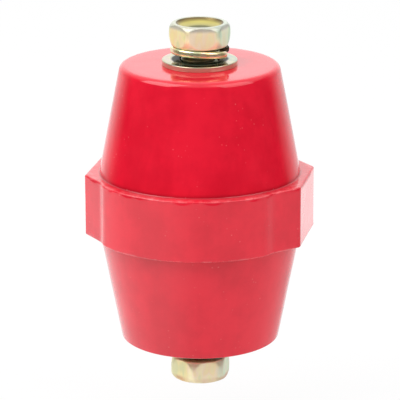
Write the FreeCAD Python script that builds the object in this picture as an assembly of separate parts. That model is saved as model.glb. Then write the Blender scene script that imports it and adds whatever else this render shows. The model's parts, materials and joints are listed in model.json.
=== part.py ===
import FreeCAD, Part
import math
import os

# Busbar stand-off insulator, 60 mm tall: a moulded double-cone body with a waist band,
# a threaded brass insert in each end, and at each end an M8 hex bolt with a split
# spring washer and a flat washer. The origin is the centre of the body's lower end
# face. +Z runs up the axis, and the waist band's wrench lugs point along +X and -X.

# ---- driving dimensions, in millimetres and degrees -------------------------------

BODY_HEIGHT = 60.0
END_RADIUS = 16.87            # cone radius at each end face
WAIST_RADIUS = 21.45          # cone radius where it meets the band
UPPER_EDGE_ROUND = 1.4        # rounding of the upper end face's rim
LOWER_EDGE_ROUND = 0.45       # the lower rim is crisper
WAIST_ROUND = 0.5             # hollow rounding between cone and band

BAND_HEIGHT = 13.2
BAND_RADIUS = 23.47
BAND_EDGE_ROUND = 0.35
LUG_FLATS = 46.5              # across the two wrench flats
LUG_CORNER_ANGLE = 19.5       # from the lug's centre line to the flat's corner
LUG_CORNER_ROUND = 0.8
LUG_FOOT_ANGLE = 36.0         # where the lug's side facet ends
LUG_FOOT_RADIUS = 22.9
STEP_END_ANGLE = 42.0         # where the small step up to the round band ends

THREAD_RADIUS = 4.0           # M8 coarse
PITCH = 1.25
BASIC_DEPTH = 5 / 8 * PITCH * math.cos(math.radians(30))
THREAD_PLAY = 0.05            # each of the two threads is eased by this much

INSERT_RADIUS = 7.0
INSERT_LENGTH = 20.0
INSERT_COLLAR = 1.5           # plain ring at the mouth
INSERT_GROOVE = 2.5           # width of the groove that the moulding keys into
KNURL_TEETH = 30
KNURL_DEPTH = 0.35
TAPPED_DEPTH = 14.0
DRILLED_DEPTH = 16.5
DRILL_POINT_ANGLE = 118.0
MOUTH_CHAMFER = 0.6

BOLT_LENGTH = 16.0            # under the head
HEAD_HEIGHT = 4.85
HEAD_FLATS = 11.7
HEAD_CORNER_RADIUS = 6.49     # the corners of a cold-forged head stay rounded
HEAD_BEARING_RADIUS = 5.9
HEAD_RIM_RADIUS = 5.5
CUP_RADIUS = 5.0
CUP_DEPTH = 1.3
NECK_LENGTH = 1.6             # plain length between head and thread

FLAT_WASHER_RADIUS = 8.0
FLAT_WASHER_HOLE = 4.2
FLAT_WASHER_THICKNESS = 1.1
FLAT_WASHER_ROUND = 0.2

RING_OUTER_RADIUS = 6.2
RING_INNER_RADIUS = 4.2
RING_THICKNESS = 1.55
RING_BEVEL = 0.2
RING_RISE = 1.0               # from the low end to the high end
RING_ARC = 337.0
RING_SLACK = 0.05             # clearance between the upper ring and the head at rest

TOP_GAP = 4.15                # from the upper end face to the upper head
BOTTOM_GAP = 4.8              # from the lower end face to the lower head
TOP_HEX_ANGLE = -11.5         # turn of each head's flats about the axis
BOTTOM_HEX_ANGLE = 2.5
TOP_RING_TILT = 6.3           # the upper ring hangs on the thread, tipped up
TOP_RING_TILT_TOWARDS = -97.0
TOP_RING_START = -9.0         # azimuth of the ring's end nearest to the end face
BOTTOM_RING_START = -113.0
BOTTOM_RING_DROP = 0.5        # from the lower flat washer to the lower ring

# ---- general helpers --------------------------------------------------------------

UP = FreeCAD.Vector(0, 0, 1)
CENTRE = FreeCAD.Vector(0, 0, 0)


def polar(radius, angle, z=0.0):
    """The point at this radius and azimuth."""
    turn = math.radians(angle)
    return FreeCAD.Vector(radius * math.cos(turn), radius * math.sin(turn), z)


def rounded_outline(corners):
    """A closed wire in the XZ plane from (radius, z, rounding) corners."""
    count = len(corners)
    points = [FreeCAD.Vector(r, 0, z) for r, z, _ in corners]
    starts, ends, middles = [], [], []
    for i, (_, _, rounding) in enumerate(corners):
        here = points[i]
        back = (points[i - 1] - here).normalize()
        ahead = (points[(i + 1) % count] - here).normalize()
        half = back.getAngle(ahead) / 2
        reach = rounding / math.tan(half)
        inward = (back + ahead).normalize()
        starts.append(here + back * reach)
        ends.append(here + ahead * reach)
        middles.append(here + inward * (rounding / math.sin(half) - rounding))
    edges = []
    for i, (_, _, rounding) in enumerate(corners):
        if rounding:
            edges.append(Part.Arc(starts[i], middles[i], ends[i]).toShape())
        following = starts[(i + 1) % count]
        if ends[i].distanceToPoint(following) > 1e-6:
            edges.append(Part.LineSegment(ends[i], following).toShape())
    return Part.Wire(edges)


def turned(corners, seam=90.0):
    """The solid of revolution of an outline, with its seam at this azimuth."""
    solid = Part.Face(rounded_outline(corners)).revolve(CENTRE, UP, 360)
    solid.rotate(CENTRE, UP, seam)
    return solid


def ring_of(radius, height, z=0.0, seam=90.0):
    """A plain cylinder standing on height z."""
    solid = Part.makeCylinder(radius, height, FreeCAD.Vector(0, 0, z))
    solid.rotate(CENTRE, UP, seam)
    return solid


def at_lower_end(shape):
    """Turn a shape made for the upper end, with z = 0 at the end face, to the lower."""
    flipped = shape.copy()
    flipped.rotate(CENTRE, FreeCAD.Vector(1, 0, 0), 180)
    return flipped


def at_upper_end(shape):
    """Lift a shape made with z = 0 at the end face to the upper end."""
    lifted = shape.copy()
    lifted.translate(UP * BODY_HEIGHT)
    return lifted


# ---- thread -------------------------------------------------------------------------

def root_radius(easing):
    """Radius at the bottom of a thread whose surface is moved inwards by easing."""
    return THREAD_RADIUS - BASIC_DEPTH - easing


def one_turn(radius, z):
    """One right-hand turn of the thread's helix, starting over +X at height z."""
    helix = Part.makeHelix(PITCH, PITCH, radius)
    helix.translate(UP * z)
    return helix.Edges[0]


def threaded_rod(low, high, easing):
    """A right-hand M8 rod that reaches past low and high, its surface eased inwards.

    A crest faces +X at every whole number of pitches, so two rods placed alike are in
    mesh. A negative easing gives the cutter for the matching hole. Each turn is four
    helical strips: root, flank, crest, flank. Each end is a ramp that climbs one pitch
    about the axis, and the step where the ramp meets itself.
    """
    slope = math.radians(30)
    crest = THREAD_RADIUS - easing
    root = root_radius(easing)
    half_crest = PITCH / 16 + easing * (math.tan(slope) - 1 / math.cos(slope))
    half_ridge = half_crest + (crest - root) * math.tan(slope)
    outline = [
        (root, half_ridge - PITCH),
        (root, -half_ridge),
        (crest, -half_crest),
        (crest, half_crest),
        (root, half_ridge),
    ]
    first = math.floor(low / PITCH) - 1
    last = math.ceil(high / PITCH) + 2
    faces = []
    for turn in range(first, last):
        base = turn * PITCH
        for (r, z), (next_r, next_z) in zip(outline, outline[1:]):
            inner = one_turn(r, base + z)
            outer = one_turn(next_r, base + next_z)
            faces.append(Part.makeRuledSurface(inner, outer))
    for base in (first * PITCH, last * PITCH):
        foot = UP * (base + half_ridge - PITCH)
        axis = Part.LineSegment(foot, foot + UP * PITCH).toShape()
        faces.append(Part.makeRuledSurface(axis, one_turn(root, foot.z)))
        step = [foot]
        step += [FreeCAD.Vector(r, 0, base + z) for r, z in outline]
        step += [foot + UP * PITCH, foot]
        faces.append(Part.Face(Part.makePolygon(step)))
    skin = Part.makeCompound(faces)
    skin.sewShape()
    rod = Part.Solid(skin.Shells[0])
    if rod.Volume < 0:
        rod.reverse()
    return rod


# ---- moulded body -------------------------------------------------------------------

def band_outline():
    """Plan of the waist band: a circle with a faceted wrench lug on +X and on -X."""
    corner_reach = LUG_FLATS / 2 / math.cos(math.radians(LUG_CORNER_ANGLE))
    half_lug = [
        (corner_reach, LUG_CORNER_ANGLE),
        (LUG_FOOT_RADIUS, LUG_FOOT_ANGLE),
        (BAND_RADIUS, STEP_END_ANGLE),
    ]
    edges = []
    for side in (0.0, 180.0):
        lug = [polar(r, side - a) for r, a in reversed(half_lug)]
        lug += [polar(r, side + a) for r, a in half_lug]
        edges += [Part.LineSegment(a, b).toShape() for a, b in zip(lug, lug[1:])]
        far = side + 180.0 - STEP_END_ANGLE
        arc = Part.Arc(lug[-1], polar(BAND_RADIUS, side + 90.0), polar(BAND_RADIUS, far))
        edges.append(arc.toShape())
    return Part.Wire(edges)


def is_upright(edge):
    """True for an edge that runs along Z."""
    box = edge.BoundBox
    return box.ZLength > 1 and box.XLength < 1e-6 and box.YLength < 1e-6


def waist_band():
    """The band, rounded at the lug corners and along its upper and lower edges."""
    low = (BODY_HEIGHT - BAND_HEIGHT) / 2
    plan = Part.Face(band_outline())
    plan.translate(UP * low)
    band = plan.extrude(UP * BAND_HEIGHT)
    uprights = [edge for edge in band.Edges if is_upright(edge)]
    band = band.makeFillet(LUG_CORNER_ROUND, uprights)
    rims = [edge for edge in band.Edges if edge.BoundBox.ZLength < 1e-6]
    return band.makeFillet(BAND_EDGE_ROUND, rims)


def double_cone():
    """The two cones base to base, with the hollow rounding above and below the band."""
    low = (BODY_HEIGHT - BAND_HEIGHT) / 2
    high = low + BAND_HEIGHT
    inside = (WAIST_RADIUS + LUG_FOOT_RADIUS) / 2
    return turned([
        (0, 0, 0),
        (END_RADIUS, 0, LOWER_EDGE_ROUND),
        (WAIST_RADIUS, low, WAIST_ROUND),
        (inside, low, 0),
        (inside, high, 0),
        (WAIST_RADIUS, high, WAIST_ROUND),
        (END_RADIUS, BODY_HEIGHT, UPPER_EDGE_ROUND),
        (0, BODY_HEIGHT, 0),
    ])


def make_body(pocket):
    """The red moulding, with a pocket of the insert's own shape in each end."""
    body = double_cone().fuse(waist_band()).removeSplitter()
    return body.cut(at_upper_end(pocket)).cut(at_lower_end(pocket))


# ---- threaded inserts ---------------------------------------------------------------

def knurled_bar(length, z):
    """A straight-knurled bar: a star of shallow teeth, extruded."""
    step = 180.0 / KNURL_TEETH
    tips = []
    for i in range(2 * KNURL_TEETH):
        radius = INSERT_RADIUS - (i % 2) * KNURL_DEPTH
        tips.append(polar(radius, i * step, z))
    return Part.Face(Part.makePolygon(tips + tips[:1])).extrude(UP * length)


def insert_blank():
    """The insert before tapping: collar, knurl, groove, knurl, with its mouth at z = 0."""
    groove_radius = INSERT_RADIUS - 2 * KNURL_DEPTH
    knurl_length = (INSERT_LENGTH - INSERT_COLLAR - INSERT_GROOVE) / 2
    collar = ring_of(INSERT_RADIUS, INSERT_COLLAR, -INSERT_COLLAR)
    spine = ring_of(groove_radius, INSERT_LENGTH - INSERT_COLLAR / 2, -INSERT_LENGTH)
    upper = knurled_bar(knurl_length, -INSERT_COLLAR - knurl_length)
    lower = knurled_bar(knurl_length, -INSERT_LENGTH)
    return collar.fuse([spine, upper, lower]).removeSplitter()


def make_insert(blank, gap, turn):
    """The blank with a blind M8 hole, in mesh with a bolt placed at this gap and turn."""
    wide = THREAD_RADIUS + PITCH
    tap = stood_off(threaded_rod(-TAPPED_DEPTH - gap, -gap, -THREAD_PLAY), gap, turn)
    tap = tap.common(ring_of(wide, TAPPED_DEPTH + PITCH, -TAPPED_DEPTH))
    drill = root_radius(0.0)
    point = drill / math.tan(math.radians(DRILL_POINT_ANGLE / 2))
    drilled = turned([
        (0, -DRILLED_DEPTH - point, 0),
        (drill, -DRILLED_DEPTH, 0),
        (drill, -TAPPED_DEPTH + PITCH, 0),
        (0, -TAPPED_DEPTH + PITCH, 0),
    ])
    mouth = THREAD_RADIUS + MOUTH_CHAMFER / 2
    countersunk = turned([
        (0, -mouth, 0),
        (mouth + MOUTH_CHAMFER, MOUTH_CHAMFER, 0),
        (0, MOUTH_CHAMFER, 0),
    ])
    return blank.cut(tap).cut(drilled).cut(countersunk)


# ---- bolt ---------------------------------------------------------------------------

def bolt_head():
    """An indented hex head: a barrel-sided blank cut to six flats, cupped on top."""
    middle = HEAD_HEIGHT * 0.53
    bearing = FreeCAD.Vector(HEAD_BEARING_RADIUS, 0, 0)
    belly = FreeCAD.Vector(HEAD_CORNER_RADIUS, 0, middle)
    rim = FreeCAD.Vector(HEAD_RIM_RADIUS, 0, HEAD_HEIGHT)
    cup_lip = FreeCAD.Vector(CUP_RADIUS, 0, HEAD_HEIGHT)
    cup_foot = FreeCAD.Vector(CUP_RADIUS - CUP_DEPTH / 2, 0, HEAD_HEIGHT - 0.8 * CUP_DEPTH)
    cup_bottom = FreeCAD.Vector(0, 0, HEAD_HEIGHT - CUP_DEPTH)
    axis_foot = FreeCAD.Vector(0, 0, 0)
    side = Part.BSplineCurve()
    side.interpolate([bearing, belly, rim], Tangents=[
        FreeCAD.Vector(0.55, 0, 1), FreeCAD.Vector(0, 0, 1), FreeCAD.Vector(-1, 0, 0.75),
    ], TangentFlags=[True, True, True])
    profile = Part.Wire([
        Part.LineSegment(axis_foot, bearing).toShape(),
        side.toShape(),
        Part.LineSegment(rim, cup_lip).toShape(),
        Part.LineSegment(cup_lip, cup_foot).toShape(),
        Part.LineSegment(cup_foot, cup_bottom).toShape(),
        Part.LineSegment(cup_bottom, axis_foot).toShape(),
    ])
    barrel = Part.Face(profile).revolve(CENTRE, UP, 360)
    barrel.rotate(CENTRE, UP, 45)
    corner = HEAD_FLATS / 2 / math.cos(math.radians(30))
    corners = [polar(corner, 60 * i + 30, -1) for i in range(7)]
    prism = Part.Face(Part.makePolygon(corners)).extrude(UP * (HEAD_HEIGHT + 2))
    return barrel.common(prism).Solids[0]


def make_bolt():
    """The bolt with its bearing face at z = 0, its head up and its thread down."""
    tip = root_radius(2 * THREAD_PLAY)
    wide = THREAD_RADIUS + PITCH
    limits = turned([
        (0, -BOLT_LENGTH, 0),
        (tip, -BOLT_LENGTH, 0),
        (wide, -BOLT_LENGTH + wide - tip, 0),
        (wide, -NECK_LENGTH, 0),
        (0, -NECK_LENGTH, 0),
    ])
    thread = threaded_rod(-BOLT_LENGTH, 0, THREAD_PLAY).common(limits)
    neck_radius = THREAD_RADIUS - BASIC_DEPTH / 2
    neck = ring_of(neck_radius, NECK_LENGTH + HEAD_HEIGHT / 5, -NECK_LENGTH)
    return thread.Solids[0].fuse(neck).fuse(bolt_head())


def stood_off(shape, gap, turn):
    """Lift a bolt, or the tap for its hole, off the end face by the gap and turn it."""
    placed = shape.copy()
    placed.rotate(CENTRE, UP, turn)
    placed.translate(UP * gap)
    return placed


# ---- washers ------------------------------------------------------------------------

def make_flat_washer():
    """A stamped flat washer lying on the end face, its outward edges rolled over."""
    burr = FLAT_WASHER_ROUND / 3
    return turned([
        (FLAT_WASHER_HOLE, 0, burr),
        (FLAT_WASHER_RADIUS, 0, burr),
        (FLAT_WASHER_RADIUS, FLAT_WASHER_THICKNESS, FLAT_WASHER_ROUND),
        (FLAT_WASHER_HOLE, FLAT_WASHER_THICKNESS, FLAT_WASHER_ROUND),
    ])


def spring_ring(start):
    """A left-hand split ring centred on the origin, its low end at this azimuth."""
    middle = (RING_OUTER_RADIUS + RING_INNER_RADIUS) / 2
    half_width = (RING_OUTER_RADIUS - RING_INNER_RADIUS) / 2
    half_height = RING_THICKNESS / 2
    low = -RING_RISE / 2
    section = rounded_outline([
        (middle + x * half_width, low + z * half_height, RING_BEVEL)
        for x, z in ((-1, -1), (1, -1), (1, 1), (-1, 1))
    ])
    helix = Part.makeHelix(RING_RISE * 360 / RING_ARC, RING_RISE, middle)
    helix.translate(UP * low)
    ring = Part.Wire(helix).makePipeShell([section], True, True)
    ring = ring.mirror(CENTRE, FreeCAD.Vector(0, 1, 0))
    ring.rotate(CENTRE, UP, start)
    return ring


def hanging_ring(gap):
    """The upper ring, tipped on the thread until its high side meets the head."""
    ring = spring_ring(TOP_RING_START)
    towards = polar(1.0, TOP_RING_TILT_TOWARDS)
    ring.rotate(CENTRE, towards.cross(UP), TOP_RING_TILT)
    highest = max(point.z for point in ring.tessellate(RING_SLACK / 5)[0])
    ring.translate(UP * (gap - RING_SLACK - highest))
    return ring


def square_ring(drop):
    """The lower ring, square on its bolt and caught on the thread below the washer."""
    ring = spring_ring(BOTTOM_RING_START)
    ring.translate(UP * (FLAT_WASHER_THICKNESS + drop + (RING_THICKNESS + RING_RISE) / 2))
    return ring


# ---- the assembly ---------------------------------------------------------------------

def build():
    """Every piece of the insulator in its place, by name."""
    blank = insert_blank()
    bolt = make_bolt()
    washer = make_flat_washer()
    return {
        "insulator_body": make_body(blank),
        "top_insert": at_upper_end(make_insert(blank, TOP_GAP, TOP_HEX_ANGLE)),
        "top_bolt": at_upper_end(stood_off(bolt, TOP_GAP, TOP_HEX_ANGLE)),
        "top_spring_washer": at_upper_end(hanging_ring(TOP_GAP)),
        "top_flat_washer": at_upper_end(washer),
        "bottom_insert": at_lower_end(make_insert(blank, BOTTOM_GAP, BOTTOM_HEX_ANGLE)),
        "bottom_bolt": at_lower_end(stood_off(bolt, BOTTOM_GAP, BOTTOM_HEX_ANGLE)),
        "bottom_spring_washer": at_lower_end(square_ring(BOTTOM_RING_DROP)),
        "bottom_flat_washer": at_lower_end(washer),
    }


os.makedirs("parts", exist_ok=True)
for name, shape in build().items():
    shape.exportStep("parts/" + name + ".step")
    print(name, len(shape.Solids), shape.isValid(), round(shape.Volume, 1))
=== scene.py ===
import json
import math

import bmesh
import bpy
from mathutils import Matrix, Vector, noise


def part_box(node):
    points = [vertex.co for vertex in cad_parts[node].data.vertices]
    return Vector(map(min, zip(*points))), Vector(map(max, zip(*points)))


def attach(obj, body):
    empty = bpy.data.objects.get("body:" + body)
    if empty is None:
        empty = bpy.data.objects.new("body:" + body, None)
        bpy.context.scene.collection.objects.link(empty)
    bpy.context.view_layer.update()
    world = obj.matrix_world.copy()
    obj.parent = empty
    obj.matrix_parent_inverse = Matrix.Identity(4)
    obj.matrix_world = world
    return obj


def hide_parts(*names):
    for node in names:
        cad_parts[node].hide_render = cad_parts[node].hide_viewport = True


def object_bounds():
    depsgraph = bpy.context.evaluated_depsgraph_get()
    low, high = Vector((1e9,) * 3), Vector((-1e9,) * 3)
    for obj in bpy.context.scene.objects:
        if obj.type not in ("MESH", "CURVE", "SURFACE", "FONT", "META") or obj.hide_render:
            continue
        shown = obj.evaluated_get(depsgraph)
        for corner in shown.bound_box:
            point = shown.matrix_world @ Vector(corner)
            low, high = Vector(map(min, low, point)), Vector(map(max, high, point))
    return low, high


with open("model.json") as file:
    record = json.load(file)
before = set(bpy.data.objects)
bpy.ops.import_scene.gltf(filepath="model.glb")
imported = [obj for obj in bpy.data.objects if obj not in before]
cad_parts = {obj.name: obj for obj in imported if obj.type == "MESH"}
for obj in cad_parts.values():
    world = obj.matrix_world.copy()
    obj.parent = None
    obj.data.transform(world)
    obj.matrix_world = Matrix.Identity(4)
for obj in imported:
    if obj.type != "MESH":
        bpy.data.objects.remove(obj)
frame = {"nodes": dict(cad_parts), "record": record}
CAD_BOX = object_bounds()

# A red moulded busbar stand-off insulator with an M8 bolt and washers at each end.
# Everything is in metres; MM turns the millimetre values below into metres.

MM = 0.001

# ---- places read from the frame -------------------------------------------------------

BODY_LOW, BODY_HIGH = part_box("insulator_body")
LOW_Z = BODY_LOW.z
HIGH_Z = BODY_HIGH.z
HALF_FLATS = BODY_HIGH.x
BAND_RADIUS = BODY_HIGH.y
TOP_BOLT_LOW, TOP_BOLT_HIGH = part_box("top_bolt")
BOTTOM_BOLT_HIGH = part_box("bottom_bolt")[1]
JOINTS = {joint["name"]: joint for joint in frame["record"]["behaviour"]["joints"]}
BOTTOM_TRAVEL = JOINTS["bottom_bolt_travel"]["range_m"][1]

# ---- sizes of the moulding ------------------------------------------------------------

END_RADIUS = 16.87 * MM
WAIST_RADIUS = 21.45 * MM
UPPER_ROUND = 1.4 * MM
LOWER_ROUND = 0.45 * MM
WAIST_ROUND = 0.25 * MM
BAND_HEIGHT = 13.2 * MM
BAND_EDGE_ROUND = 0.35 * MM
LUG_CORNER_ANGLE = 19.5
LUG_CORNER_ROUND = 0.8 * MM
STEP_ROUND = 6.0 * MM          # how gently the lugs' sides run into the round band
LUG_FOOT_ANGLE = 36.0
LUG_FOOT_RADIUS = 22.9 * MM
STEP_END_ANGLE = 42.0
BAND_STEPS = 32                # stretches of the round band between two lugs
BAND_ROWS = 14                 # rows down the band's face
SHARP_TURN = 30.0              # a turn this big in the band's outline is a lug's corner
SLIGHT_TURN = 10.0             # and this big, the foot of a lug
POCKET_RADIUS = 7.02 * MM
POCKET_DEPTH = 20.0 * MM
POCKET_LIP = 0.12 * MM         # rounding of the pockets' mouths
SKIN_STEP = 1.6 * MM           # longest stretch between two rows of the cones
FLASH = 0.06 * MM              # height of the mould flash left along the band's edges
FLASH_SCALE = 9.0              # noise scale of the flash, on a circle of radius 1
WAVE = 0.03 * MM               # how uneven the moulded skin is
WAVE_SCALE = 110.0             # noise scales, in waves to a metre
RIPPLE_SCALE = 320.0

# ---- sizes of the bolts and washers -----------------------------------------------------

THREAD_RADIUS = 3.95 * MM
THREAD_ROOT = 3.27 * MM
PITCH = 1.25 * MM
BOLT_LENGTH = 16.0 * MM
TIP_CUT = 0.1 * MM             # how far the tip's chamfer starts inside the thread's root
NECK_LENGTH = 1.6 * MM         # plain length between the head and the thread
NECK_RADIUS = (THREAD_ROOT + THREAD_RADIUS) / 2
NECK_FILLET = 0.12 * MM
HEAD_HEIGHT = TOP_BOLT_HIGH.z - TOP_BOLT_LOW.z - BOLT_LENGTH
HALF_HEAD_FLATS = 5.85 * MM
HEAD_CORNER_RADIUS = 6.49 * MM
HEAD_BEARING_RADIUS = 5.9 * MM
HEAD_RIM_RADIUS = 5.72 * MM
HEAD_BELLY = 0.53              # share of the head's height where its corners are widest
HEAD_EDGE = 0.16 * MM          # softness of the edges between the flats and the barrel
HEAD_LIP = 0.08 * MM           # rounding of the head's rim
CUP_RADIUS = 5.0 * MM
CUP_DEPTH = 1.3 * MM
TURN_STEPS = 240               # columns around a bolt
THREAD_ROWS = 170
HEAD_ROWS = 30
CUP_ROWS = 18
WASHER_HOLE = 4.2 * MM         # radius
WASHER_ROLLED = 0.22 * MM      # rounding of the washers' far edges
WASHER_UNEVEN = 0.012 * MM
WASHER_STEPS = 180
RING_OUTER = 6.2 * MM
RING_INNER = 4.2 * MM
RING_THICKNESS = 1.55 * MM
RING_RISE = 1.0 * MM           # from the ring's low end to its high end
RING_ARC = 337.0
RING_INNER_ROUND = 0.3 * MM
RING_OUTER_ROUND = 0.55 * MM
RING_STEPS = 150
RING_END = 0.001               # share of the arc kept crisp at each cut end
TOP_RING_START = -9.0
TOP_RING_TILT = 6.3            # the upper ring hangs on the thread, tipped up
TOP_RING_TILT_TOWARDS = -97.0
BOTTOM_RING_START = -113.0
TOP_HEX_ANGLE = -11.5
BOTTOM_HEX_ANGLE = 2.5

# ---- the camera ---------------------------------------------------------------------------

CAMERA_AZIMUTH = 12.0
CAMERA_ELEVATION = 16.655
CAMERA_DISTANCE = 576.82 * MM
CAMERA_LENS = 242.66
CAMERA_ROLL = -0.11
CAMERA_TARGET = Vector((0, 0, LOW_Z + 30.034 * MM))

# ---- brightness of the studio as the object mirrors it ------------------------------------

BACK_GLOW = 1.75               # the back wall, straight behind the object
BACK_EDGE = 0.25               # cosine of the direction where the back wall starts
BACK_FALLOFF = 1.5
SKY_GLOW = 1.2                 # above
FRONT_GLOW = 0.04              # everywhere else
FLOOR_BESIDE = (0.8, 1.3)      # the floor, from the camera's right to its left
FLOOR_BEHIND = (1.0, 1.5, 0.95)   # the floor behind: at the object, past it and far away


def around(radius, angle, z=0.0):
    """The point at this radius and azimuth in degrees."""
    turn = math.radians(angle)
    return Vector((radius * math.cos(turn), radius * math.sin(turn), z))


# ---- mesh building ----------------------------------------------------------------------

def skin(name, rings, closed=False):
    """A mesh through rings of points, its ends joined when closed and else capped.

    The points keep their order; the first cap's centre and then the last's come after them.
    """
    mesh = bpy.data.meshes.new(name)
    shape = bmesh.new()
    grid = [[shape.verts.new(point) for point in ring] for ring in rings]
    count = len(rings[0])
    pairs = list(zip(grid, grid[1:]))
    if closed:
        pairs.append((grid[-1], grid[0]))
    for here, following in pairs:
        for i in range(count):
            j = (i + 1) % count
            shape.faces.new((here[i], here[j], following[j], following[i]))
    ends = () if closed else ((grid[0], rings[0]), (grid[-1], rings[-1]))
    for ring, points in ends:
        centre = shape.verts.new(sum(points, Vector()) / count)
        for i in range(count):
            shape.faces.new((centre, ring[i], ring[(i + 1) % count]))
    bmesh.ops.recalc_face_normals(shape, faces=shape.faces)
    for face in shape.faces:
        face.smooth = True
    shape.to_mesh(mesh)
    shape.free()
    piece = bpy.data.objects.new(name, mesh)
    bpy.context.scene.collection.objects.link(piece)
    return piece


def stands_for(piece, node, body):
    """Put a made piece in the place of a CAD node and let it move with that node's body."""
    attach(piece, body)
    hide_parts(node)
    return piece


def corner_arc(before, corner, after, rounding, steps=5):
    """Points of the arc that rounds a corner of a flat outline."""
    back = (before - corner).normalized()
    ahead = (after - corner).normalized()
    half = back.angle(ahead) / 2
    centre = corner + (back + ahead).normalized() * (rounding / math.sin(half))
    start = (corner + back * (rounding / math.tan(half)) - centre).normalized()
    end = (corner + ahead * (rounding / math.tan(half)) - centre).normalized()
    return [centre + start.slerp(end, i / steps) * rounding for i in range(steps + 1)]


def rounded_path(corners, steps=5):
    """(radius, z) points along a path of (radius, z, rounding) corners."""
    flat = [Vector((r, z)) for r, z, _ in corners]
    path = [flat[0]]
    for i in range(1, len(corners) - 1):
        rounding = corners[i][2]
        if rounding:
            path += corner_arc(flat[i - 1], flat[i], flat[i + 1], rounding, steps)
        else:
            path.append(flat[i])
    path.append(flat[-1])
    return path


def subdivided(path, longest):
    """The same path with no step longer than this."""
    fine = [path[0]]
    for here, following in zip(path, path[1:]):
        parts = max(1, math.ceil((following - here).length / longest))
        fine += [here.lerp(following, i / parts) for i in range(1, parts + 1)]
    return fine


# ---- moulded body -------------------------------------------------------------------------

def band_plan():
    """Points of the waist band's outline, seen from above, once around the axis."""
    reach = HALF_FLATS / math.cos(math.radians(LUG_CORNER_ANGLE))
    corners = []
    for side in (0.0, 180.0):
        corners.append(around(reach, side + LUG_CORNER_ANGLE).xy)
        corners.append(around(LUG_FOOT_RADIUS, side + LUG_FOOT_ANGLE).xy)
        corners.append(around(BAND_RADIUS, side + STEP_END_ANGLE).xy)
        for i in range(1, BAND_STEPS):
            share = i / BAND_STEPS
            angle = side + STEP_END_ANGLE + share * (180 - 2 * STEP_END_ANGLE)
            corners.append(around(BAND_RADIUS, angle).xy)
        corners.append(around(BAND_RADIUS, side + 180 - STEP_END_ANGLE).xy)
        corners.append(around(LUG_FOOT_RADIUS, side + 180 - LUG_FOOT_ANGLE).xy)
        corners.append(around(reach, side + 180 - LUG_CORNER_ANGLE).xy)
    outline = []
    for i, corner in enumerate(corners):
        before, after = corners[i - 1], corners[(i + 1) % len(corners)]
        turn = (corner - before).angle(after - corner)
        if turn > math.radians(SHARP_TURN):
            outline += corner_arc(before, corner, after, LUG_CORNER_ROUND)
        elif turn > math.radians(SLIGHT_TURN):
            outline += corner_arc(before, corner, after, STEP_ROUND)
        else:
            outline.append(corner)
    return outline


def band_radii(outline, angles):
    """Distance from the axis to the band's outline in each direction."""
    radii = []
    edges = list(zip(outline, outline[1:] + outline[:1]))
    for angle in angles:
        ray = around(1.0, angle).xy
        best = 0.0
        for a, b in edges:
            side = b - a
            cross = ray.x * side.y - ray.y * side.x
            if abs(cross) < 1e-12:
                continue
            distance = (a.x * side.y - a.y * side.x) / cross
            share = (a.x * ray.y - a.y * ray.x) / cross
            if distance > 0 and -1e-6 <= share <= 1 + 1e-6:
                best = max(best, distance)
        radii.append(best)
    return radii


def body_angles():
    """Azimuths of the body's columns, closer together around the lugs' corners."""
    angles = {float(i) for i in range(360)}
    for side in (0.0, 180.0):
        for corner in (LUG_CORNER_ANGLE, LUG_FOOT_ANGLE, STEP_END_ANGLE):
            for sign in (-1, 1):
                for i in range(-8, 9):
                    angles.add(round((side + sign * corner + i * 0.25) % 360, 3))
    return sorted(angles)


def moulded_body():
    """The red moulding: end pockets, two cones and the band with its lugs and flash."""
    low = (LOW_Z + HIGH_Z - BAND_HEIGHT) / 2
    high = low + BAND_HEIGHT
    upper = subdivided(rounded_path([
        (POCKET_RADIUS, HIGH_Z - POCKET_DEPTH, 0),
        (POCKET_RADIUS, HIGH_Z, POCKET_LIP),
        (END_RADIUS, HIGH_Z, UPPER_ROUND),
        (WAIST_RADIUS, high, WAIST_ROUND),
        (WAIST_RADIUS + 4 * WAIST_ROUND, high, 0),
    ], 8), SKIN_STEP)
    lower = subdivided(rounded_path([
        (WAIST_RADIUS + 4 * WAIST_ROUND, low, 0),
        (WAIST_RADIUS, low, WAIST_ROUND),
        (END_RADIUS, LOW_Z, LOWER_ROUND),
        (POCKET_RADIUS, LOW_Z, POCKET_LIP),
        (POCKET_RADIUS, LOW_Z + POCKET_DEPTH, 0),
    ], 8), SKIN_STEP)
    upper.pop()
    lower.pop(0)
    angles = body_angles()
    plan = band_radii(band_plan(), angles)
    rings = [[around(r, a, z) for a in angles] for r, z in upper]
    inner = upper[-1].x
    for inset, z, share in band_section(low, high):
        ring = []
        for angle, radius in zip(angles, plan):
            outer = radius - inset
            ring.append(around(inner + (outer - inner) * share, angle, z))
        rings.append(ring)
    rings += [[around(r, a, z) for a in angles] for r, z in lower]
    piece = skin("moulded_body", rings)
    roughen(piece, high, low)
    return stands_for(piece, "insulator_body", "insulator")


def band_section(low, high):
    """(inset, z, share of the way out) rows across the band, from its upper face down."""
    rows = [(BAND_EDGE_ROUND, high, share) for share in (0.3, 0.65, 1.0)]
    for i in range(1, 7):
        turn = math.radians(15 * i)
        inset = BAND_EDGE_ROUND * (1 - math.sin(turn))
        rows.append((inset, high - BAND_EDGE_ROUND * (1 - math.cos(turn)), 1.0))
    span = BAND_HEIGHT - 2 * BAND_EDGE_ROUND
    for i in range(1, BAND_ROWS):
        rows.append((0.0, high - BAND_EDGE_ROUND - span * i / BAND_ROWS, 1.0))
    rows += [(inset, low + high - z, share) for inset, z, share in rows[8:2:-1]]
    rows += [(BAND_EDGE_ROUND, low, share) for share in (1.0, 0.65, 0.3)]
    return rows


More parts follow.
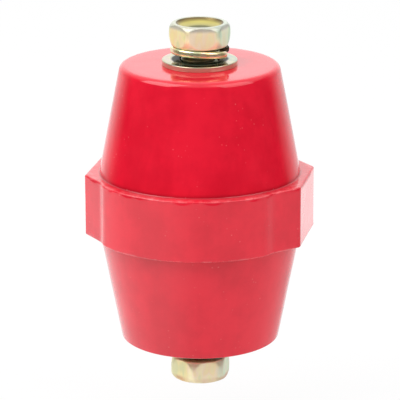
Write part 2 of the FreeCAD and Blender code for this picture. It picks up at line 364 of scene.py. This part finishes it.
def roughen(piece, high, low):
    """Moulded unevenness: a faint wave everywhere and a ragged flash on the band's edges."""
    for vertex in piece.data.vertices:
        point = vertex.co
        radius = point.xy.length
        if radius < POCKET_RADIUS * 1.2:
            continue
        out = Vector((point.x, point.y, 0)) / radius
        wave = noise.noise(point * WAVE_SCALE) + 0.5 * noise.noise(point * RIPPLE_SCALE)
        offset = out * (wave * WAVE)
        near_edge = min(abs(point.z - high), abs(point.z - low))
        if radius > WAIST_RADIUS + WAIST_ROUND and near_edge < 2 * BAND_EDGE_ROUND:
            along = Vector((out.x, out.y, point.z * 900))
            ragged = max(0.0, noise.noise(along * FLASH_SCALE) + 0.25)
            closeness = max(0.0, 1 - near_edge / (2 * BAND_EDGE_ROUND))
            offset += out * (FLASH * ragged * math.sin(math.pi * closeness) ** 2)
        vertex.co = point + offset


# ---- bolts ----------------------------------------------------------------------------------

def soft_least(a, b, softness):
    """The smaller of two lengths, with a rounded changeover."""
    h = max(0.0, min(1.0, 0.5 + 0.5 * (b - a) / softness))
    return b + (a - b) * h - softness * h * (1 - h)


def barrel_radius(z):
    """Radius of the cold-forged head's corners at height z above its underside."""
    belly = HEAD_HEIGHT * HEAD_BELLY
    if z < belly:
        drop = HEAD_CORNER_RADIUS - HEAD_BEARING_RADIUS
        return HEAD_CORNER_RADIUS - drop * ((belly - z) / belly) ** 2
    drop = HEAD_CORNER_RADIUS - HEAD_RIM_RADIUS
    return HEAD_CORNER_RADIUS - drop * ((z - belly) / (HEAD_HEIGHT - belly)) ** 4


def head_ring(radius, z, angles):
    """One ring of the head: the barrel cut back softly by the six flats."""
    ring = []
    for angle in angles:
        beside = (angle + 30) % 60 - 30
        flat = HALF_HEAD_FLATS / math.cos(math.radians(beside))
        ring.append(around(soft_least(radius, flat, HEAD_EDGE), angle, z))
    return ring


def thread_radius(z, angle):
    """Radius of the thread's surface: a rounded ridge that climbs one pitch a turn."""
    phase = (z / PITCH - angle / 360) % 1.0
    ridge = abs(phase - 0.5) * 2
    share = max(0.0, min(1.0, (ridge - 0.12) / 0.76))
    share = share * share * (3 - 2 * share)
    return THREAD_ROOT + (THREAD_RADIUS - THREAD_ROOT) * share


def shank_rings(angles):
    """The threaded shank from its chamfered tip up to the fillet under the head."""
    rings = []
    tip = THREAD_ROOT - TIP_CUT
    for i in range(THREAD_ROWS + 1):
        z = -BOLT_LENGTH + (BOLT_LENGTH - NECK_LENGTH) * i / THREAD_ROWS
        chamfer = tip + (z + BOLT_LENGTH)
        fade = max(0.0, min(1.0, (-NECK_LENGTH - z) / PITCH))
        ring = []
        for angle in angles:
            radius = NECK_RADIUS + (thread_radius(z, angle) - NECK_RADIUS) * fade
            ring.append(around(min(radius, chamfer), angle, z))
        rings.append(ring)
    rings.append([around(NECK_RADIUS, a, -NECK_FILLET) for a in angles])
    rings.append([around(NECK_RADIUS + NECK_FILLET, a, 0) for a in angles])
    return rings


def head_rings(angles):
    """The head's bearing face, its six-sided barrel and its rim."""
    rings = []
    for share in (0.3, 0.6, 0.85, 0.95):
        radius = NECK_RADIUS + (HEAD_BEARING_RADIUS - NECK_RADIUS) * share
        rings.append([around(radius, a, 0) for a in angles])
    for i in range(HEAD_ROWS + 1):
        z = HEAD_HEIGHT * i / HEAD_ROWS
        inset = HEAD_LIP if i in (0, HEAD_ROWS) else 0
        rings.append(head_ring(barrel_radius(z) - inset, z, angles))
    rim = [
        (HEAD_RIM_RADIUS - 2 * HEAD_LIP, 0),
        (CUP_RADIUS + 1.5 * HEAD_LIP, 0),
        (CUP_RADIUS + 0.5 * HEAD_LIP, 0.4 * HEAD_LIP),
    ]
    for radius, drop in rim:
        rings.append([around(radius, a, HEAD_HEIGHT - drop) for a in angles])
    return rings


def cup_rings(angles):
    """The cup in the head's face: steep sides and a nearly flat floor."""
    rings = []
    for i in range(CUP_ROWS):
        share = 1 - (i / CUP_ROWS) ** 1.5
        z = HEAD_HEIGHT - HEAD_LIP - (CUP_DEPTH - HEAD_LIP) * (1 - share ** 4)
        rings.append([around(CUP_RADIUS * share, a, z) for a in angles])
    return rings


def bolt(name, turn, place, node):
    """One M8 bolt, its head's underside at z = 0 before it is placed."""
    angles = [i * 360 / TURN_STEPS for i in range(TURN_STEPS)]
    outside = shank_rings(angles) + head_rings(angles)
    cup = cup_rings(angles)
    piece = skin(name, outside + cup)
    recess = piece.data.attributes.new("recess", "FLOAT", "POINT")
    first = len(outside) * TURN_STEPS
    tip_centre = first + len(cup) * TURN_STEPS
    for i in range(first, len(recess.data)):
        recess.data[i].value = 1.0
    recess.data[tip_centre].value = 0.0
    piece.data.transform(place @ Matrix.Rotation(math.radians(turn), 4, "Z"))
    return stands_for(piece, node, node)


def bolts():
    """The two bolts, each where the CAD has it."""
    top = Matrix.Translation((0, 0, TOP_BOLT_LOW.z + BOLT_LENGTH))
    flip = Matrix.Rotation(math.pi, 4, "X")
    bottom = Matrix.Translation((0, 0, BOTTOM_BOLT_HIGH.z - BOLT_LENGTH)) @ flip
    return [
        bolt("top_hex_bolt", TOP_HEX_ANGLE, top, "top_bolt"),
        bolt("bottom_hex_bolt", BOTTOM_HEX_ANGLE, bottom, "bottom_bolt"),
    ]


# ---- washers ----------------------------------------------------------------------------------

def flat_washer(name, node, near, far, seed):
    """A stamped washer: rolled edges on the far side, sharper ones on the near side."""
    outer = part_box(node)[1].x
    middle = (WASHER_HOLE + outer) / 2
    path = subdivided(rounded_path([
        (middle, near, 0),
        (outer, near, WASHER_ROLLED / 3),
        (outer, far, WASHER_ROLLED),
        (WASHER_HOLE, far, WASHER_ROLLED),
        (WASHER_HOLE, near, WASHER_ROLLED / 3),
        (middle, near, 0),
    ], 6), 0.5 * MM)
    path.pop()
    rings = []
    for r, z in path:
        ring = []
        for i in range(WASHER_STEPS):
            angle = i * 360 / WASHER_STEPS
            uneven = noise.noise(around(r, angle, seed) * 260) * WASHER_UNEVEN
            ring.append(around(r + uneven, angle, z))
        rings.append(ring)
    return stands_for(skin(name, rings, closed=True), node, node)


def split_ring(name, node, start, place):
    """A left-hand spring washer of rounded wire, its low end at this azimuth."""
    middle = (RING_OUTER + RING_INNER) / 2
    half_width = (RING_OUTER - RING_INNER) / 2
    half_height = RING_THICKNESS / 2
    section = rounded_path([
        (-half_width, 0, 0),
        (-half_width, -half_height, RING_INNER_ROUND),
        (half_width, -half_height, RING_OUTER_ROUND),
        (half_width, half_height, RING_OUTER_ROUND),
        (-half_width, half_height, RING_INNER_ROUND),
        (-half_width, 0, 0),
    ], 7)
    section.pop()
    shares = [i / RING_STEPS for i in range(1, RING_STEPS)]
    shares = [0.0, RING_END] + shares + [1 - RING_END, 1.0]
    rings = []
    for share in shares:
        angle = start - RING_ARC * share
        rise = RING_RISE * (share - 0.5)
        rings.append([around(middle + r, angle, z + rise) for r, z in section])
    piece = skin(name, rings)
    # Marks the cut ends, which the ring material paints dark as shade.
    cut = piece.data.attributes.new("cut", "FLOAT", "POINT")
    first = (len(rings) - 1) * len(section)
    for i in range(first, first + len(section)):
        cut.data[i].value = 1.0
    cut.data[-1].value = 1.0
    piece.data.transform(place)
    top = max(vertex.co.z for vertex in piece.data.vertices)
    piece.data.transform(Matrix.Translation((0, 0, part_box(node)[1].z - top)))
    return stands_for(piece, node, node)


def washers():
    """Each end's flat washer and spring washer."""
    low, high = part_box("top_flat_washer")
    top_flat = flat_washer("top_plain_washer", "top_flat_washer", low.z, high.z, 1.0)
    low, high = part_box("bottom_flat_washer")
    bottom_flat = flat_washer("bottom_plain_washer", "bottom_flat_washer", high.z, low.z, 2.0)
    tilt_axis = around(1, TOP_RING_TILT_TOWARDS).cross(Vector((0, 0, 1)))
    tilt = Matrix.Rotation(math.radians(TOP_RING_TILT), 4, tilt_axis)
    flip = Matrix.Rotation(math.pi, 4, "X")
    return [
        top_flat,
        bottom_flat,
        split_ring("top_split_ring", "top_spring_washer", TOP_RING_START, tilt),
        split_ring("bottom_split_ring", "bottom_spring_washer", BOTTOM_RING_START, flip),
    ]


# ---- materials ----------------------------------------------------------------------------------

class Nodes:
    """Adds shader nodes to a tree in few words."""

    def __init__(self, tree):
        self.tree = tree
        tree.nodes.clear()

    def add(self, kind, inputs=None, **settings):
        """A node with these settings; an input may be a value or another socket."""
        node = self.tree.nodes.new(kind)
        for key, value in settings.items():
            setattr(node, key, value)
        for key, value in (inputs or {}).items():
            if isinstance(value, bpy.types.NodeSocket):
                self.tree.links.new(value, node.inputs[key])
            else:
                node.inputs[key].default_value = value
        return node

    def noise(self, where, scale, detail=3.0, roughness=0.5):
        """A noise texture's factor."""
        values = {"Vector": where, "Scale": scale, "Detail": detail, "Roughness": roughness}
        return self.add("ShaderNodeTexNoise", values).outputs["Fac"]

    def between(self, value, low, high, start=0.0, end=1.0):
        """value moved smoothly from low..high to start..end."""
        values = {0: value, 1: low, 2: high, 3: start, 4: end}
        node = self.add("ShaderNodeMapRange", values, interpolation_type="SMOOTHSTEP")
        return node.outputs[0]

    def math(self, operation, a, b=0.0):
        """One arithmetic step."""
        return self.add("ShaderNodeMath", {0: a, 1: b}, operation=operation).outputs[0]

    def mix(self, share, a, b, blend="MIX"):
        """Two colours mixed."""
        node = self.add("ShaderNodeMix", data_type="RGBA", blend_type=blend)
        for index, value in ((0, share), (6, a), (7, b)):
            if isinstance(value, bpy.types.NodeSocket):
                self.tree.links.new(value, node.inputs[index])
            else:
                node.inputs[index].default_value = value
        return node.outputs[2]

    def ramp(self, share, stops):
        """A colour ramp from (position, colour) stops."""
        node = self.add("ShaderNodeValToRGB", {"Fac": share})
        elements = node.color_ramp.elements
        while len(elements) < len(stops):
            elements.new(0.5)
        for element, (position, colour) in zip(elements, stops):
            element.position = position
            element.color = (*colour, 1.0)
        return node.outputs["Color"]

    def bump(self, height, distance, strength=1.0, normal=None):
        """A bump from a height."""
        values = {"Height": height, "Distance": distance, "Strength": strength}
        if normal is not None:
            values["Normal"] = normal
        return self.add("ShaderNodeBump", values).outputs["Normal"]


def new_material(name):
    """An empty material and its node helper."""
    material = bpy.data.materials.new(name)
    material.use_nodes = True
    return material, Nodes(material.node_tree)


def distance_from_axis(n, where):
    """How far a place is from the object's axis."""
    flat = n.add("ShaderNodeVectorMath", {0: where, 1: (1, 1, 0)}, operation="MULTIPLY")
    return n.add("ShaderNodeVectorMath", {0: flat.outputs[0]}, operation="LENGTH").outputs["Value"]


def distance_from_middle(n, where, middle):
    """How far above or below a level a place is."""
    height = n.add("ShaderNodeSeparateXYZ", {0: where}).outputs["Z"]
    return n.math("ABSOLUTE", n.math("SUBTRACT", height, middle))


def cone_foot(n, where):
    """A narrow zone on both cones, against the band: painted shade darkens it and dust specks gather
    there.
    """
    height = distance_from_middle(n, where, (LOW_Z + HIGH_Z) / 2)
    near = n.between(height, BAND_HEIGHT / 2, BAND_HEIGHT / 2 + 1.0 * MM, 1.0, 0.0)
    radius = distance_from_axis(n, where)
    on_cone = n.between(radius, WAIST_RADIUS + 0.1 * MM, WAIST_RADIUS + 0.3 * MM, 1.0, 0.0)
    return n.math("MULTIPLY", near, on_cone)


def edge_scuffs_and_highlight(n, where):
    """Where the flash along the band's two edges is rubbed pale, with a painted highlight along those
    edges.
    """
    height = distance_from_middle(n, where, (LOW_Z + HIGH_Z) / 2)
    half = BAND_HEIGHT / 2
    near = n.between(height, half - 1.6 * BAND_EDGE_ROUND, half - 0.3 * BAND_EDGE_ROUND)
    outside = n.between(distance_from_axis(n, where), WAIST_RADIUS, BAND_RADIUS - 0.3 * MM)
    ragged = n.between(n.noise(where, 330.0, 4.0, 0.7), 0.42, 0.62)
    return n.math("MULTIPLY", n.math("MULTIPLY", near, outside), ragged)


def red_thermoset():
    """Glossy red polyester moulding: fine filler specks, flow mottling, faint ripples."""
    material, n = new_material("red_thermoset")
    where = n.add("ShaderNodeTexCoord").outputs["Object"]
    upright = n.add("ShaderNodeVectorMath", {0: where, 1: (1, 1, 0.12)}, operation="MULTIPLY")
    streaks = n.noise(upright.outputs[0], 150.0, 3.0, 0.6)
    mottle = n.math("ADD", n.noise(where, 90.0, 5.0, 0.65), n.math("MULTIPLY", streaks, 0.6))
    mottle = n.between(mottle, 0.6, 1.0)
    colour = n.mix(mottle, (0.62, 0.007, 0.024, 1), (0.74, 0.011, 0.032, 1))
    foot = cone_foot(n, where)
    # Painted shade in the crease where each cone meets the band.
    colour = n.mix(n.math("MULTIPLY", foot, 0.55), colour, (0.30, 0.003, 0.014, 1))
    specks = n.add("ShaderNodeTexVoronoi", {"Vector": where, "Scale": 900.0})
    speck = n.between(specks.outputs["Distance"], 0.05, 0.18, 1.0, 0.0)
    chosen = n.between(n.noise(where, 240.0, 2.0), 0.56, 0.64)
    chosen = n.math("MAXIMUM", chosen, n.math("MULTIPLY", foot, n.noise(where, 300.0)))
    speck = n.math("MULTIPLY", n.math("MULTIPLY", speck, chosen), 0.28)
    colour = n.mix(speck, colour, (0.9, 0.30, 0.30, 1))
    # Rubbed pale flash plus a painted highlight along the band's upper and lower edges.
    colour = n.mix(n.math("MULTIPLY", edge_scuffs_and_highlight(n, where), 0.3), colour, (0.9, 0.28, 0.30, 1))
    ripple = n.noise(where, 160.0, 2.0)
    grain = n.noise(where, 2600.0, 2.0)
    normal = n.bump(ripple, 0.00006, 0.5)
    normal = n.bump(grain, 0.000002, 0.3, normal)
    rough = n.between(n.noise(where, 380.0, 3.0), 0.3, 0.75, 0.08, 0.16)
    values = {
        "Base Color": colour, "Roughness": rough, "IOR": 1.55, "Normal": normal,
    }
    shader = n.add("ShaderNodeBsdfPrincipled", values)
    n.add("ShaderNodeOutputMaterial", {"Surface": shader.outputs[0]})
    return material


def zinc_film(n, where):
    """The patchy cream, pink and mint colour of yellow passivation."""
    streaked = n.add("ShaderNodeVectorMath", {0: where, 1: (1, 1, 0.25)}, operation="MULTIPLY")
    streaked = streaked.outputs[0]
    facing = n.add("ShaderNodeLayerWeight", {"Blend": 0.5}).outputs["Facing"]
    fine = n.between(n.noise(streaked, 520.0, 2.5, 0.5), 0.34, 0.66)
    broad = n.between(n.noise(where, 170.0, 2.0), 0.38, 0.62)
    film = n.math("ADD", n.math("MULTIPLY", fine, 0.40), n.math("MULTIPLY", broad, 0.40))
    film = n.math("ADD", film, n.math("MULTIPLY", facing, 0.32))
    return n.ramp(film, [
        (0.0, (0.86, 0.84, 0.46)),
        (0.14, (0.97, 0.84, 0.38)),
        (0.28, (0.98, 0.76, 0.42)),
        (0.40, (0.98, 0.82, 0.64)),
        (0.54, (0.97, 0.90, 0.48)),
        (0.74, (0.62, 0.76, 0.50)),
        (1.0, (0.66, 0.72, 0.66)),
    ])


def metal_finish(n, where, colour, metallic, smooth, rough):
    """A metal surface of this colour with faint dents and grain."""
    grain = n.noise(where, 1800.0, 3.0, 0.7)
    dents = n.noise(where, 420.0, 2.0)
    normal = n.bump(dents, 0.00003, 0.6)
    normal = n.bump(grain, 0.000003, 0.5, normal)
    values = {
        "Base Color": colour, "Metallic": metallic, "Normal": normal,
        "Roughness": n.between(grain, 0.3, 0.7, smooth, rough),
    }
    shader = n.add("ShaderNodeBsdfPrincipled", values)
    n.add("ShaderNodeOutputMaterial", {"Surface": shader.outputs[0]})
    return shader


def flat_hues(n, where, radius):
    """The film's hue from a head's left flats to its right ones: green, peach, mint."""
    sideways = n.add("ShaderNodeSeparateXYZ", {0: where}).outputs["X"]
    turned = n.math("ADD", n.math("MULTIPLY", n.math("DIVIDE", sideways, radius), 0.5), 0.5)
    return n.ramp(turned, [
        (0.36, (0.77, 0.72, 0.34)),
        (0.43, (1.00, 0.96, 0.66)),
        (0.85, (1.00, 0.96, 0.66)),
        (0.90, (0.58, 0.84, 0.65)),
    ])


def bolt_zinc():
    """Yellow zinc on the bolts, worn dull, with painted shade and a painted lit band in the head's cup
    and painted shade on the thread.
    """
    material, n = new_material("bolt_zinc")
    where = n.add("ShaderNodeTexCoord").outputs["Object"]
    radius = distance_from_axis(n, where)
    across = n.math("DIVIDE", radius, CUP_RADIUS)
    # Painted shade in the cup: dark floor, a painted lit band on its wall and a dark rim.
    cup_shading = n.ramp(across, [
        (0.0, (0.10, 0.12, 0.05)),
        (0.42, (0.16, 0.17, 0.07)),
        (0.56, (0.46, 0.42, 0.16)),
        (0.82, (0.60, 0.52, 0.16)),
        (0.95, (0.26, 0.19, 0.08)),
        (1.0, (0.18, 0.14, 0.07)),
    ])
    recess = n.add("ShaderNodeAttribute", attribute_name="recess").outputs["Fac"]
    height = n.add("ShaderNodeSeparateXYZ", {0: where}).outputs["Z"]
    top, foot = CAD_BOX[1].z, CAD_BOX[0].z
    rubbed = n.between(height, top - 1.3 * MM, top - 0.5 * MM, 0.0, 0.75)
    colour = n.mix(0.55, zinc_film(n, where), flat_hues(n, where, radius))
    colour = n.mix(rubbed, colour, (0.42, 0.44, 0.41, 1))
    stained = n.between(height, foot + 0.5 * MM, foot + 1.5 * MM, 1.0, 0.0)
    stained = n.math("MULTIPLY", stained, n.between(n.noise(where, 260.0), 0.35, 0.6, 0.3, 1.0))
    colour = n.mix(stained, colour, (0.62, 0.36, 0.20, 1))
    # Painted shade: the thread is darkened as if shadowed between the head, washers and body.
    shank_shade = n.between(radius, THREAD_RADIUS, THREAD_RADIUS + 0.3 * MM, 1.0, 0.0)
    colour = n.mix(n.math("MULTIPLY", shank_shade, 0.7), colour, (0.10, 0.08, 0.03, 1))
    colour = n.mix(recess, colour, cup_shading)
    metallic = n.between(recess, 0.0, 1.0, 0.36, 1.0)
    metal_finish(n, where, colour, metallic, 0.285, 0.36)
    return material


def flat_washer_zinc():
    """Dark smooth zinc: rough pink sheared edges, and a painted shadow, a near-black disc with no
    shine, under the spring washer.
    """
    material, n = new_material("flat_washer_zinc")
    where = n.add("ShaderNodeTexCoord").outputs["Object"]
    face = n.mix(1.0, zinc_film(n, where), (0.50, 0.50, 0.56, 1), "MULTIPLY")
    normal = n.add("ShaderNodeNewGeometry").outputs["Normal"]
    upright = n.add("ShaderNodeSeparateXYZ", {0: normal}).outputs["Z"]
    edge = n.between(n.math("ABSOLUTE", upright), 0.35, 0.8, 1.0, 0.0)
    colour = n.mix(edge, face, (0.62, 0.40, 0.30, 1))
    ragged = n.math("MULTIPLY", n.noise(where, 400.0), 0.5 * MM)
    radius = n.math("ADD", distance_from_axis(n, where), ragged)
    beyond_ring_shadow = n.between(radius, RING_OUTER - 0.2 * MM, RING_OUTER + 0.4 * MM, 0.03, 1.0)
    # Painted shadow: within the spring washer's reach the face is near black and loses its metal and
    # its shine.
    colour = n.mix(beyond_ring_shadow, (0.012, 0.02, 0.01, 1), colour)
    metallic = n.math("MULTIPLY", beyond_ring_shadow, n.between(edge, 0.0, 1.0, 1.0, 0.45))
    shader = metal_finish(n, where, colour, metallic, 0.08, 0.17)
    n.tree.links.new(n.math("MULTIPLY", beyond_ring_shadow, 0.5), shader.inputs["Specular IOR Level"])
    return material


def ring_zinc(name, tint):
    """Satin zinc on the hard steel spring washers, with painted shade on their cut ends."""
    material, n = new_material(name)
    where = n.add("ShaderNodeTexCoord").outputs["Object"]
    colour = n.mix(1.0, zinc_film(n, where), (*tint, 1), "MULTIPLY")
    cut = n.add("ShaderNodeAttribute", attribute_name="cut").outputs["Fac"]
    # Painted shade: the cut ends go nearly black, as if shaded under the head.
    colour = n.mix(cut, colour, (0.05, 0.04, 0.02, 1))
    metallic = n.between(cut, 0.0, 1.0, 0.75, 0.1)
    metal_finish(n, where, colour, metallic, 0.14, 0.26)
    return material


def turned_brass():
    """Machined brass of the inserts, faintly mottled."""
    material, n = new_material("turned_brass")
    where = n.add("ShaderNodeTexCoord").outputs["Object"]
    mottle = n.noise(where, 900.0, 2.0)
    colour = n.mix(mottle, (0.66, 0.46, 0.18, 1), (0.80, 0.62, 0.30, 1))
    values = {
        "Base Color": colour, "Metallic": 1.0, "Roughness": 0.3,
        "Normal": n.bump(mottle, 0.00001),
    }
    shader = n.add("ShaderNodeBsdfPrincipled", values)
    n.add("ShaderNodeOutputMaterial", {"Surface": shader.outputs[0]})
    return material


def finish_with(piece, material):
    """Give every face of a piece this material."""
    piece.data.materials.clear()
    piece.data.materials.append(material)


# ---- studio ---------------------------------------------------------------------------------------

def towards(azimuth, elevation):
    """Unit vector in this direction; azimuth 0 is -Y and 90 is +X."""
    a = math.radians(azimuth)
    e = math.radians(elevation)
    return Vector((math.sin(a) * math.cos(e), -math.cos(a) * math.cos(e), math.sin(e)))


def make_camera():
    """The camera, aimed at the middle of the object."""
    data = bpy.data.cameras.new("camera")
    data.lens = CAMERA_LENS
    data.sensor_width = 36
    data.clip_start = 0.01
    camera = bpy.data.objects.new("camera", data)
    bpy.context.scene.collection.objects.link(camera)
    out = towards(CAMERA_AZIMUTH, CAMERA_ELEVATION)
    camera.location = CAMERA_TARGET + out * CAMERA_DISTANCE
    aim = (-out).to_track_quat("-Z", "Y").to_matrix().to_4x4()
    roll = Matrix.Rotation(math.radians(CAMERA_ROLL), 4, "Z")
    camera.matrix_world = Matrix.Translation(camera.location) @ aim @ roll
    bpy.context.scene.camera = camera


def area_light(name, azimuth, elevation, distance, size, power):
    """A soft square lamp aimed at the object; its azimuth counts from the camera's."""
    data = bpy.data.lights.new(name, "AREA")
    data.shape = "SQUARE"
    data.size = size
    data.energy = power
    lamp = bpy.data.objects.new(name, data)
    bpy.context.scene.collection.objects.link(lamp)
    out = towards(CAMERA_AZIMUTH + azimuth, elevation)
    lamp.location = CAMERA_TARGET + out * distance
    lamp.rotation_mode = "QUATERNION"
    lamp.rotation_quaternion = (-out).to_track_quat("-Z", "Y")


def directions(n, vector):
    """How far a direction points away from the camera, and how far to its left."""
    ahead = -towards(CAMERA_AZIMUTH, 0)
    left = Vector((-ahead.y, ahead.x, 0))
    level = n.add("ShaderNodeVectorMath", {0: vector, 1: (1, 1, 0)}, operation="MULTIPLY")
    level = n.add("ShaderNodeVectorMath", {0: level.outputs[0]}, operation="NORMALIZE")
    level = level.outputs[0]
    shares = []
    for side in (ahead, left):
        dot = n.add("ShaderNodeVectorMath", {0: level, 1: side}, operation="DOT_PRODUCT")
        shares.append(dot.outputs["Value"])
    return shares


def back_light(n, ahead):
    """The white back wall: nothing in front, brightest straight behind the object."""
    share = n.math("MAXIMUM", n.math("SUBTRACT", ahead, BACK_EDGE), 0.0)
    share = n.math("POWER", n.math("MULTIPLY", share, 1 / (1 - BACK_EDGE)), BACK_FALLOFF)
    return n.math("MULTIPLY", share, BACK_GLOW)


def studio_world():
    """White to the camera; to the object, bright behind and above, dark in front."""
    world = bpy.data.worlds.new("studio")
    world.use_nodes = True
    bpy.context.scene.world = world
    n = Nodes(world.node_tree)
    direction = n.add("ShaderNodeTexCoord").outputs["Generated"]
    height = n.add("ShaderNodeSeparateXYZ", {0: direction}).outputs["Z"]
    above = n.between(height, 0.35, 0.7, 0.0, SKY_GLOW)
    ahead = directions(n, direction)[0]
    light = n.math("ADD", n.math("MAXIMUM", back_light(n, ahead), above), FRONT_GLOW)
    glow = n.add("ShaderNodeBackground", {"Strength": light})
    plain = n.add("ShaderNodeBackground", {"Color": (1, 1, 1, 1), "Strength": 1.0})
    seen = n.add("ShaderNodeLightPath").outputs["Is Camera Ray"]
    mixed = n.add("ShaderNodeMixShader", {0: seen, 1: glow.outputs[0], 2: plain.outputs[0]})
    n.add("ShaderNodeOutputWorld", {"Surface": mixed.outputs[0]})


def studio_floor():
    """A plain pale floor, low enough for the lower bolt to be wound out above it."""
    mesh = bpy.data.meshes.new("floor")
    shape = bmesh.new()
    bmesh.ops.create_grid(shape, x_segments=2, y_segments=2, size=4.0)
    shape.to_mesh(mesh)
    shape.free()
    floor = bpy.data.objects.new("floor", mesh)
    bpy.context.scene.collection.objects.link(floor)
    floor.location.z = CAD_BOX[0].z - BOTTOM_TRAVEL
    material, n = new_material("floor")
    path = n.add("ShaderNodeLightPath")
    where = n.add("ShaderNodeTexCoord").outputs["Object"]
    paper = n.add("ShaderNodeBsdfDiffuse", {"Color": (0.82, 0.82, 0.82, 1)}).outputs[0]
    white = n.add("ShaderNodeEmission", {"Strength": 1.0}).outputs[0]
    share = n.math("MULTIPLY", path.outputs["Is Camera Ray"], 0.92)
    seen = n.add("ShaderNodeMixShader", {0: share, 1: paper, 2: white}).outputs[0]
    ahead, left = directions(n, where)
    away = n.add("ShaderNodeVectorMath", {0: where}, operation="LENGTH").outputs["Value"]
    close, past, far = FLOOR_BEHIND
    rising = n.between(away, 0.105, 0.16, close, past)
    falling = n.between(away, 0.2, 0.3, past, far)
    behind = n.math("MINIMUM", rising, falling)
    behind = n.math("MULTIPLY", behind, n.between(ahead, 0.3, 0.85))
    beside = n.between(left, -0.1, 0.8, *FLOOR_BESIDE)
    beside = n.math("MULTIPLY", beside, n.between(away, 0.34, 0.46, 1.0, 0.0))
    glow = n.math("MAXIMUM", behind, beside)
    mirrored = n.add("ShaderNodeEmission", {"Strength": glow}).outputs[0]
    inputs = {0: path.outputs["Is Glossy Ray"], 1: seen, 2: mirrored}
    mixed = n.add("ShaderNodeMixShader", inputs).outputs[0]
    n.add("ShaderNodeOutputMaterial", {"Surface": mixed})
    finish_with(floor, material)


def studio():
    """Camera, floor, world and lamps."""
    make_camera()
    studio_floor()
    studio_world()
    area_light("key", azimuth=-68, elevation=45, distance=0.8, size=0.7, power=4.8)
    area_light("fill", azimuth=58, elevation=40, distance=0.8, size=0.7, power=2.7)
    bpy.context.scene.view_settings.view_transform = "Standard"


# ---- the scene --------------------------------------------------------------------------------------

red = red_thermoset()
brass = turned_brass()

finish_with(moulded_body(), red)
worn_and_shaded_zinc = bolt_zinc()
for piece in bolts():
    finish_with(piece, worn_and_shaded_zinc)
flat_zinc = flat_washer_zinc()
# The lower spring washer gets a dark-tinted copy of the ring zinc: painted shade in the gap above the
# lower head.
unshaded_ring = ring_zinc("ring_zinc", (0.98, 0.93, 0.88))
shaded_ring = ring_zinc("shaded_ring_zinc", (0.22, 0.17, 0.12))
for piece, material in zip(washers(), (flat_zinc, flat_zinc, unshaded_ring, shaded_ring)):
    finish_with(piece, material)
for node in ("top_insert", "bottom_insert"):
    finish_with(frame["nodes"][node], brass)
studio()
